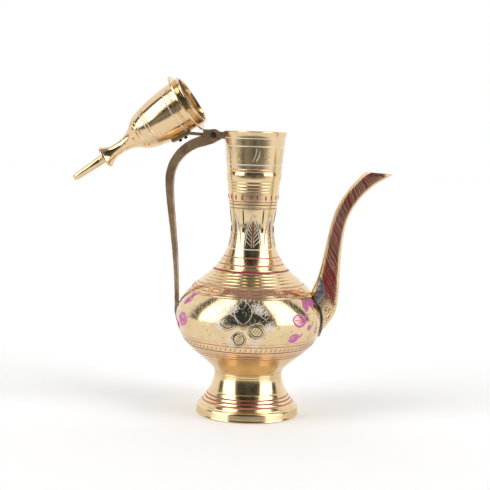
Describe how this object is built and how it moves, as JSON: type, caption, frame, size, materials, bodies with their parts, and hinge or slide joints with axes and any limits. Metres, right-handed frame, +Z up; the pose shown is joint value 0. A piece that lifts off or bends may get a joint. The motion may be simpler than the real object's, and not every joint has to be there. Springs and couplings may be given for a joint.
{
  "type": "lidded brass ewer",
  "caption": "Tall lidded brass ewer with a turned foot, round engraved belly, long flared neck, curved spout and forged handle; the bell-shaped lid hinges open on the handle.",
  "frame": {"origin": "on the vessel's turned axis, in the plane of the foot's ring", "axes": "+Z up along the turned axis, +X towards the spout, +Y completes a right-handed frame, so the handle and lid are on -X"},
  "size_m": [0.2338, 0.1074, 0.2427],
  "materials": {
    "polished_brass": "turned and polished, with engraved lines, bright cuts and coloured lac",
    "engraved_spout": "chased with dark slanting strokes filled with red lac, brass showing at the edges",
    "tarnished_bronze": "forged, hammered and dark with tarnish",
    "soft_solder": "dull grey solder, smeared",
    "iron_pin": "hammered and rusty",
    "black_rivet": "blackened"
  },
  "bodies": {
    "vessel": {"foot": "polished_brass", "bowl": "polished_brass", "shoulder": "polished_brass", "neck": "polished_brass", "foot_solder": "soft_solder", "spout_front": "engraved_spout", "spout_back": "engraved_spout", "spout_solder": "soft_solder", "handle": "tarnished_bronze", "handle_top_solder": "soft_solder", "handle_foot_solder": "soft_solder", "hinge_pin": "iron_pin"},
    "lid": {"lid_bell": "polished_brass", "lid_collar": "polished_brass", "lid_spike": "polished_brass", "lid_strap": "tarnished_bronze", "strap_rivets": "black_rivet"}
  },
  "joints": [
    {"name": "lid_hinge", "type": "hinge", "parent": "vessel", "child": "lid", "pos_m": [-0.0302, 0, 0.2014], "axis": [0, 1, 0], "range_deg": [0, 124.7]}
  ]
}
